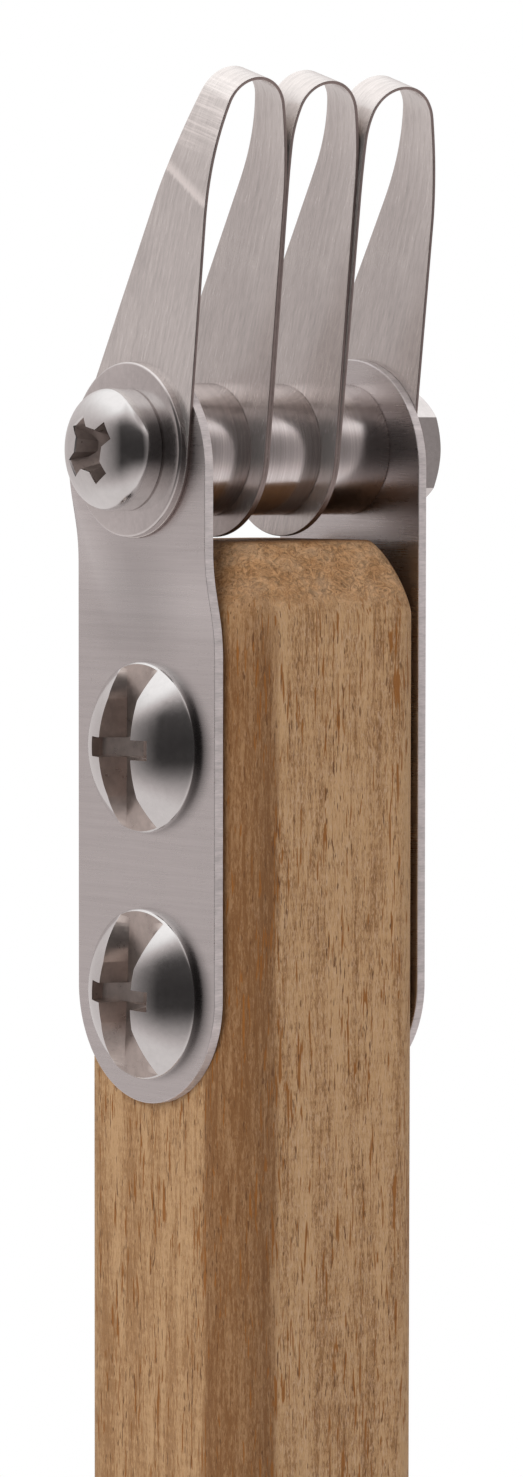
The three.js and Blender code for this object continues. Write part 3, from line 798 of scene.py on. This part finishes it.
def build_loop(s, side, lean, crown_inset, crown_shift):
    name = f"{side}_cutting_loop"
    low, high = place_of(name)
    leg_half_gap = (high.x - low.x - s.thickness) / 2
    path = LoopPath(s, leg_half_gap, crown_inset, crown_shift)
    bm = bmesh.new()
    # The flat blank is a ladder of rungs between its two holed ends
    half = leg_half_width(s, LADDER_FOOT)
    first = rung = bm.edges.new([bm.verts.new((0, y, LADDER_FOOT)) for y in (-half, half)])
    for i in range(1, LADDER_STEPS + 1):
        level = LADDER_FOOT + (path.length - 2 * LADDER_FOOT) * i / LADDER_STEPS
        made = bmesh.ops.extrude_edge_only(bm, edges=[rung])
        half = leg_half_width(s, path.at(level)[1])
        place(verts_of(made), lambda co: Vector((0, math.copysign(half, co.y), level)))
        rung = max(edges_of(made), key=lambda edge: min(v.co.z for v in edge.verts))
    holed_end(bm, s, first, 0, False)
    holed_end(bm, s, rung, path.length, True)
    thicken(bm, s.thickness, s.edge_bevel)
    # Brushing follows the strip, so its pattern coordinates are those of the flat blank, in millimetres
    flat = bm.loops.layers.uv.new("UVMap")
    for face in bm.faces:
        for loop in face.loops:
            loop[flat].uv = (loop.vert.co.y, loop.vert.co.z)

    def bend(co):
        x, z, out_x, out_z = path.at(co.z)
        return Vector((x + co.x * out_x, co.y, z + co.x * out_z))

    place(bm.verts, bend)
    rotate(bm, lean, "X")
    move(bm, ((low.x + high.x) / 2, 0, CLAMP_AXIS_HEIGHT))
    # The left loop's strip has a painted highlight line.
    strip = strip_with_painted_highlight(s) if side == "left" else strip_finish(s)
    edge = steel("cut_strip_edge", s.edge_tint, (0.1, 0.1, 0.1), (0.35, 0.5), grain_depth=0.01, streaks=0.2)
    finish_piece(bm, f"{side}_loop", f"{side}_loop", [name], [strip, edge], crease=20)


# Turned and threaded pieces


def build_spacer(s, side):
    name = f"{side}_spacer"
    bm = tube(name, s.bore_radius)
    bevel(bm, sharp_edges(bm), s.edge_bevel)
    move(bm, (0, 0, CLAMP_AXIS_HEIGHT))
    # Fine rings round the X axis, as a lathe leaves them
    turned = steel("lathe_turned", s.turned_tint, (0.05, 60, 60), (0.16, 0.26), grain_depth=0.0016, streaks=0.14,
                   mottle=4.0)
    finish_piece(bm, f"{side}_turned_spacer", HOME_BODY, [name], [turned])


def build_clamp_screw(s):
    low, high = place_of("clamp_screw")
    seat = place_of("clamp_washer")[0].x - s.head_clearance
    apex, shoulder, point = low.x, seat - s.head_side, high.x
    start = point - s.point_chamfer
    rim, crest, root = 0.12, s.shank_radius, s.shank_radius - s.thread_depth
    # Ring grooves stand for the thread, from a millimetre before the nut to the point's chamfer
    threaded = start - place_of("clamp_nut")[0].x + 1
    grooves = []
    for i in range(int(threaded / s.thread_pitch), 0, -1):
        for radius, turns in ((crest, 0), (crest, 0.12), (root, 0.5), (root, 0.62)):
            grooves.append((radius, start + (turns - i) * s.thread_pitch))
    bm = spun(full_dome(apex, shoulder, s.head_radius, s.head_fullness)
              + [(s.head_radius, seat - rim), (s.head_radius - rim, seat), (crest, seat)] + grooves
              + [(crest, start), (crest - s.point_chamfer, point), (0, point)])
    half, reach = s.recess_width / 2, s.recess_reach
    along, across = [Vector((0, math.cos(s.recess_turn + q), math.sin(s.recess_turn + q))) for q in (0, math.pi / 2)]

    def on_dome(face):
        return middle_of(face).x < shoulder - 0.3

    def near():
        return [f for f in bm.faces if on_dome(f) and radius_of(middle_of(f)) < reach * 1.25]

    for direction in (along, across):
        for offset in (half, -half, reach, -reach):
            cut(bm, near(), direction * offset, direction)
    for direction in (along + across, along - across):
        direction.normalize()
        for side in (-1, 1):
            cut(bm, near(), direction * side * s.recess_corner / math.sqrt(2), direction)

    def in_cross(face):
        a, b = abs(middle_of(face).dot(along)), abs(middle_of(face).dot(across))
        return on_dome(face) and max(a, b) < reach and (min(a, b) < half or a + b < s.recess_corner)

    def chamfered(co):
        """A small polished lip round the cross."""
        narrow = 0.955
        return Vector((co.x + 0.09, co.y * narrow, co.z * narrow))

    def sunk(co):
        """A floor that is deepest in the middle, with walls that lean in."""
        out, lean, hollow = radius_of(co) / reach, 0.72, 0.8
        return Vector((apex + s.recess_depth - hollow * out * out, co.y * lean, co.z * lean))

    lip = sink(bm, [f for f in bm.faces if in_cross(f)], chamfered, finish=0)
    sink(bm, lip, sunk)
    move(bm, (0, 0, CLAMP_AXIS_HEIGHT))
    # The deep recess's dark colour is painted shade, on top of its duller finish.
    finish_piece(bm, "pan_head_screw", "clamp_screw", ["clamp_screw"],
                 head_finishes(s.polished_tint, "deep_recess", s.recess_shade_tint, 0.6))


def ground_steel(s, name):
    return steel(name, s.washer_tint, (0.4, 0.4, 0.4), (0.14, 0.24), streaks=0.08)


def build_washer(s):
    bm = tube("clamp_washer", s.washer_bore)
    left = place_of("clamp_washer")[0].x + 0.01
    bevel(bm, [e for e in sharp_edges(bm) if all(v.co.x < left for v in e.verts)], s.washer_bevel, segments=4)
    move(bm, (0, 0, CLAMP_AXIS_HEIGHT))
    finish_piece(bm, "flat_washer", HOME_BODY, ["clamp_washer"], [ground_steel(s, "washer_face")])


def build_nut(s):
    low, high = place_of("clamp_nut")
    flat = s.nut_flats / 2
    bore = s.shank_radius - s.thread_depth * 0.4
    corner, circle = flat / math.cos(math.pi / 6), flat * 0.985

    def hexagon(angle):
        """Reach of the hexagon, which has a flat across the Y axis before its turn."""
        return flat / math.cos((angle - s.nut_turn + math.pi / 6) % (math.pi / 3) - math.pi / 6)

    def chamfered(angle):
        return high.x - (hexagon(angle) - circle) / (corner - circle) * s.nut_chamfer

    # Up the flats, over the chamfer, down the countersunk bore and back under the nut
    rings = [
        lambda a: (hexagon(a), low.x + 0.05),
        lambda a: (hexagon(a), chamfered(a) - 0.02),
        lambda a: (hexagon(a) - 0.04, chamfered(a) + 0.015),
        lambda a: (circle, high.x),
        lambda a: (bore + 0.45, high.x),
        lambda a: (bore, high.x - 0.4),
        lambda a: (bore, low.x + 0.3),
        lambda a: (bore + 0.3, low.x),
        lambda a: (flat * 0.97, low.x),
    ]
    bm = bmesh.new()
    upright = Matrix.Rotation(s.nut_turn, 4, "X") @ Matrix.Rotation(math.pi / 2, 4, "Y")
    verts = bmesh.ops.create_circle(bm, cap_ends=False, segments=ROUND_STEPS, radius=1, matrix=upright)["verts"]
    edges = edges_at(verts)

    def put(verts, ring):
        for vert in verts:
            angle = math.atan2(vert.co.z, vert.co.y)
            radius, x = ring(angle)
            vert.co = (x, radius * math.cos(angle), radius * math.sin(angle))

    put(verts, rings[0])
    for ring in rings[1:] + rings[:1]:
        made = bmesh.ops.extrude_edge_only(bm, edges=edges)
        fresh = set(verts_of(made))
        edges = [e for e in edges_of(made) if all(v in fresh for v in e.verts)]
        put(fresh, ring)
    move(bm, (0, 0, CLAMP_AXIS_HEIGHT))
    finish_piece(bm, "hex_nut", HOME_BODY, ["clamp_nut"], [ground_steel(s, "nut_face")], crease=25)


# Handle fasteners with a wide slotted head


def truss_head(s, turned, flare_start, shank):
    """A head facing -X with its seat at X = 0, on a shank given by its own (radius, x) points."""
    apex, skirt, floor = -s.height, -s.skirt, -s.slot_floor
    # The dome meets the rolled rim at 45 degrees, and the rim turns on into the straight skirt
    roll, turns = s.rim_rounding, [math.radians(angle) for angle in (45, 56, 67, 78, 90)]
    rim = [(s.rim_radius - roll * (1 - math.sin(a)), skirt + roll * (math.cos(turns[0]) - math.cos(a))) for a in turns]
    bm = spun(round_dome(apex, skirt, rim[0][0], floor) + rim[1:] + [(s.rim_radius, 0)] + shank)
    half, lean = s.slot_width / 2, math.tan(s.slot_lean)

    def above(depth, reach=s.rim_radius):
        return [f for f in bm.faces if middle_of(f).x < depth - 0.001 and radius_of(middle_of(f)) < reach]

    def slot_half(co):
        return half + max(0, floor - co.x) * lean + max(0, abs(co.z) - flare_start) * s.flare

    for end in (-1, 1):
        cut(bm, above(floor), (0, 0, end * flare_start), (0, 0, 1))
    for side in (-1, 1):
        inner = [f for f in above(floor) if abs(middle_of(f).z) < flare_start]
        cut(bm, inner, (floor, side * half, 0), (lean, side, 0))
        for end in (-1, 1):
            outer = [f for f in above(floor) if middle_of(f).z * end > flare_start]
            cut(bm, outer, (floor, side * half, end * flare_start), (lean, side, -end * s.flare))
    slot = [f for f in above(floor) if abs(middle_of(f).y) < slot_half(middle_of(f))]
    sink(bm, slot, lambda co: Vector((floor, co.y * half / slot_half(co), co.z)))
    merge(bm)
    reach, arm = s.cross_reach, s.cross_width / 2
    for normal, offset in (((0, 0, 1), arm), ((0, 0, 1), -arm), ((0, 1, 0), reach), ((0, 1, 0), -reach)):
        cut(bm, above(floor + 0.01, reach * 1.3), Vector(normal) * offset, normal)

    def in_cross(face):
        return abs(middle_of(face).z) < arm and abs(middle_of(face).y) < reach

    def arm_floor(co):
        """A floor that rises from the middle to the arms' tips."""
        slope = (s.cross_tip - s.cross_middle) / reach
        return Vector((-s.cross_middle - slope * abs(co.y), co.y * 0.985, co.z * 0.96))

    sink(bm, [f for f in above(floor + 0.01) if in_cross(f)], arm_floor)
    rotate(bm, turned, "X")
    return bm


def build_fastener(s, name, new_name, drop, turned, flare_start, shank, facing):
    """A wide-headed fastener at a drop below the clamp axis. facing is -1 for the left side and 1 for the right."""
    low, high = place_of(name)
    polished = bpy.context.scene.carving_tool.clamp.polished_tint
    bm = truss_head(s, turned, flare_start, shank)
    if facing > 0:
        rotate(bm, math.pi, "Z")
    seat = low.x + s.height if facing < 0 else high.x - s.height
    move(bm, (seat, 0, CLAMP_AXIS_HEIGHT - drop))
    finish_piece(bm, new_name, HOME_BODY, [name],
                 head_finishes(polished, "pressed_slot", s.slot_tint, 0.95))


# Stage

# Each soft light: its place and its width in metres, and its share of the key light's power
LIGHTS = {
    "key_light": ((-0.75, -0.30, 0.55), 0.6, 1.0),
    "top_light": ((0.15, 0.25, 0.95), 0.7, 0.6),
    "fill_light": ((0.55, -0.70, 0.35), 0.6, 0.255),
}
LIGHT_AIM = Vector((0, 0, 0.13))
CAMERA_PLACE = (-0.24379860, -0.30404588, 0.15765789)
CAMERA_DEGREES = (86.635739, -0.074489, -38.825454)


def soft_light(name, place_at, width, power):
    light = bpy.data.lights.new(name, "AREA")
    light.shape, light.size, light.energy = "SQUARE", width, power
    lamp = bpy.data.objects.new(name, light)
    lamp.location = place_at
    lamp.rotation_euler = (LIGHT_AIM - Vector(place_at)).to_track_quat("-Z", "Y").to_euler()
    lamp.visible_glossy = False
    bpy.context.scene.collection.objects.link(lamp)


def studio_world():
    """White to the camera, plain to matt surfaces, and a studio with a dim side for metal to mirror."""
    world = bpy.data.worlds.new("studio")
    bpy.context.scene.world = world
    world.use_nodes = True
    world.node_tree.nodes.clear()
    look = Look(world.node_tree, world.node_tree.nodes.new("ShaderNodeOutputWorld"))
    x, y, z = look.split(look.add("ShaderNodeTexCoord", {}, "Generated"))
    flat = look.add("ShaderNodeCombineXYZ", {"X": x, "Y": y})
    level = look.add("ShaderNodeVectorMath", {0: flat}, operation="NORMALIZE")

    # The camera's side of the room is dark, and its darkness reaches higher the nearer it is to the camera
    near = look.measured("DOT_PRODUCT", level, (-0.616, -0.788, 0))
    roof = z.fit(near.fit(0.0, 0.9, 0.40, 1.15), near.fit(0.0, 1.0, 0.13, 0.55), smooth=True)
    ground = z.fit(near.fit(0.0, 0.9, -0.62, -1.0), -0.2, smooth=True)
    dark = near.fit(-0.30, 0.66, 0.0, 0.93) * (roof * ground)
    # A dim strip hangs high at the front right
    right = look.measured("DOT_PRODUCT", level, (0.55, -0.83, 0)).fit(0.55, 0.95, 0.0, 0.55, smooth=True)
    dark = dark.most(right * abs(z - 0.76).fit(0.24, 0.08, smooth=True))
    bright = z.fit(0.05, 0.90, 0.68, 1.40, smooth=True) + z.fit(-0.05, -0.50, 0.0, 0.20)
    mirrored = bright * (1.0 - dark)
    warmth = look.mixed(mirrored.fit(0.68, 1.2), (1, 0.93, 0.92, 1), WHITE)

    def glow(colour, strength):
        return look.add("ShaderNodeBackground", {"Color": colour, "Strength": strength})

    plain, studio, white = glow(WHITE, 0.42), glow(warmth, mirrored), glow(WHITE, 1.0)
    seen = look.add("ShaderNodeMixShader", {0: look.ray("Glossy").most(look.ray("Transmission")), 1: plain, 2: studio})
    look.feed("Surface", look.add("ShaderNodeMixShader", {0: look.ray("Camera"), 1: seen, 2: white}))


def floor_material(s):
    """Pale floor that takes the tool's shadow and fades to white further out."""
    material, look = new_material("pale_floor", s.floor_tint, Roughness=0.9)
    if look is None:
        return material
    look.feed("Base Color", look.mixed(look.noise((40, 40, 40), 3), scaled_colour(s.floor_tint, 0.985), s.floor_tint))
    faded = look.measured("LENGTH", look.stretched()).fit(150, 330, smooth=True) * look.ray("Camera")
    white = look.add("ShaderNodeEmission", {"Color": WHITE, "Strength": 1.0})
    shown = look.add("ShaderNodeMixShader", {0: faded, 1: Value(look, look.target.outputs[0]), 2: white})
    look.tree.links.new(shown.socket, look.tree.nodes["Material Output"].inputs["Surface"])
    return material


def build_stage(s):
    scene = bpy.context.scene
    scene.view_settings.view_transform = "Standard"
    studio_world()
    bm = bmesh.new()
    bmesh.ops.create_circle(bm, cap_ends=True, segments=96, radius=s.floor_radius * MILLIMETRE)
    mesh = bpy.data.meshes.new("floor")
    bm.to_mesh(mesh)
    bm.free()
    mesh.materials.append(floor_material(s))
    floor = bpy.data.objects.new("floor", mesh)
    floor.visible_glossy = False
    scene.collection.objects.link(floor)
    for name, (place_at, width, share_of_key) in LIGHTS.items():
        soft_light(name, place_at, width, s.key_power * share_of_key)
    lens = bpy.data.cameras.new("camera")
    lens.sensor_fit, lens.sensor_width, lens.lens = "AUTO", 36, s.lens
    lens.clip_start, lens.clip_end = 0.01, 20
    camera = bpy.data.objects.new("camera", lens)
    camera.location = CAMERA_PLACE
    camera.rotation_euler = Euler([math.radians(angle) for angle in CAMERA_DEGREES])
    scene.collection.objects.link(camera)
    scene.camera = camera


# Operators


def settings_of(context, group):
    return in_millimetres(getattr(context.scene.carving_tool, group))


class CARVING_OT_handle(bpy.types.Operator):
    """Build the square wooden handle with its rounded working end and cross bores"""

    bl_idname = "carving.handle"
    bl_label = "Wooden Handle"

    def execute(self, context):
        plates = settings_of(context, "plates")
        heights = [CLAMP_AXIS_HEIGHT - plates.upper_drop, CLAMP_AXIS_HEIGHT - plates.lower_drop]
        build_handle(settings_of(context, "handle"), heights)
        return {"FINISHED"}


class CARVING_OT_plates(bpy.types.Operator):
    """Build the two steel side plates"""

    bl_idname = "carving.plates"
    bl_label = "Side Plates"

    def execute(self, context):
        s = settings_of(context, "plates")
        half_handle = place_of("handle")[1].x
        centre = half_handle + s.thickness / 2
        build_plate(s, "left_side_plate", -centre, s.screw_hole, s.bow)
        build_plate(s, "right_side_plate", centre, s.barrel_hole, 0)
        return {"FINISHED"}


class CARVING_OT_loops(bpy.types.Operator):
    """Build the three bent cutting loops"""

    bl_idname = "carving.loops"
    bl_label = "Cutting Loops"

    def execute(self, context):
        s = settings_of(context, "loops")
        for side, (lean, crown_inset, crown_shift) in LOOP_FORMS.items():
            build_loop(s, side, math.radians(lean), crown_inset, crown_shift)
        return {"FINISHED"}


class CARVING_OT_spacers(bpy.types.Operator):
    """Build the three turned spacers"""

    bl_idname = "carving.spacers"
    bl_label = "Spacers"

    def execute(self, context):
        s = settings_of(context, "spacers")
        for side in ("left", "middle", "right"):
            build_spacer(s, side)
        return {"FINISHED"}


class CARVING_OT_clamp_screw(bpy.types.Operator):
    """Build the pan head clamp screw with its cross recess"""

    bl_idname = "carving.clamp_screw"
    bl_label = "Clamp Screw"

    def execute(self, context):
        build_clamp_screw(settings_of(context, "clamp"))
        return {"FINISHED"}


class CARVING_OT_washer(bpy.types.Operator):
    """Build the flat washer under the clamp screw's head"""

    bl_idname = "carving.washer"
    bl_label = "Clamp Washer"

    def execute(self, context):
        build_washer(settings_of(context, "clamp"))
        return {"FINISHED"}


class CARVING_OT_nut(bpy.types.Operator):
    """Build the chamfered hexagon nut"""

    bl_idname = "carving.nut"
    bl_label = "Clamp Nut"

    def execute(self, context):
        build_nut(settings_of(context, "clamp"))
        return {"FINISHED"}


class CARVING_OT_handle_screws(bpy.types.Operator):
    """Build the two handle screws on the left side"""

    bl_idname = "carving.handle_screws"
    bl_label = "Handle Screws"

    def execute(self, context):
        s, plates = settings_of(context, "truss"), settings_of(context, "plates")
        for level, drop, turned, flare in (("upper", plates.upper_drop, s.upper_turn, s.upper_flare),
                                           ("lower", plates.lower_drop, s.lower_turn, s.lower_flare)):
            low, high = place_of(f"{level}_handle_screw")
            length = high.x - low.x - s.height
            shank = [(s.screw_radius, 0), (s.screw_radius, length - 0.4), (s.screw_radius - 0.4, length), (0, length)]
            build_fastener(s, f"{level}_handle_screw", f"{level}_slotted_screw", drop, turned, flare, shank, -1)
        return {"FINISHED"}


class CARVING_OT_barrel_nuts(bpy.types.Operator):
    """Build the two barrel nuts on the right side"""

    bl_idname = "carving.barrel_nuts"
    bl_label = "Barrel Nuts"

    def execute(self, context):
        s, plates = settings_of(context, "truss"), settings_of(context, "plates")
        for level, drop, turned, flare in (("upper", plates.upper_drop, s.lower_turn, s.lower_flare),
                                           ("lower", plates.lower_drop, s.upper_turn, s.upper_flare)):
            low, high = place_of(f"{level}_barrel_nut")
            length = high.x - low.x - s.height
            shank = [(s.barrel_radius, 0), (s.barrel_radius, length), (s.barrel_bore, length),
                     (s.barrel_bore, s.barrel_wall), (0, s.barrel_wall)]
            build_fastener(s, f"{level}_barrel_nut", f"{level}_slotted_barrel", drop, turned, flare, shank, 1)
        return {"FINISHED"}


class CARVING_OT_stage(bpy.types.Operator):
    """Build the pale floor, the soft lights, the world and the camera"""

    bl_idname = "carving.stage"
    bl_label = "Stage"

    def execute(self, context):
        build_stage(settings_of(context, "stage"))
        return {"FINISHED"}


OPERATORS = (
    CARVING_OT_handle, CARVING_OT_plates, CARVING_OT_loops, CARVING_OT_spacers, CARVING_OT_clamp_screw,
    CARVING_OT_washer, CARVING_OT_nut, CARVING_OT_handle_screws, CARVING_OT_barrel_nuts, CARVING_OT_stage,
)


class CARVING_PT_tool(bpy.types.Panel):
    """Lists the pieces of the carving tool and their settings"""

    bl_idname = "CARVING_PT_tool"
    bl_label = "Clay Carving Tool"
    bl_space_type = "VIEW_3D"
    bl_region_type = "UI"
    bl_category = "Carving Tool"

    def draw(self, context):
        tool = context.scene.carving_tool
        for operator in OPERATORS:
            self.layout.operator(operator.bl_idname)
        for group in ("handle", "plates", "loops", "spacers", "clamp", "truss", "stage"):
            settings = getattr(tool, group)
            box = self.layout.box()
            box.label(text=tool.bl_rna.properties[group].name)
            for name in settings.bl_rna.properties.keys():
                if name not in {"rna_type", "name"}:
                    box.prop(settings, name)


CLASSES = (
    HandleSettings, PlateSettings, LoopSettings, SpacerSettings, ClampSettings, TrussSettings, StageSettings,
    CarvingToolSettings, *OPERATORS, CARVING_PT_tool,
)


def register():
    for cls in CLASSES:
        bpy.utils.register_class(cls)
    bpy.types.Scene.carving_tool = PointerProperty(type=CarvingToolSettings)


def unregister():
    del bpy.types.Scene.carving_tool
    for cls in reversed(CLASSES):
        bpy.utils.unregister_class(cls)


def main():
    register()
    for operator in OPERATORS:
        group, name = operator.bl_idname.split(".")
        getattr(getattr(bpy.ops, group), name)()


if __name__ == "__main__":
    main()
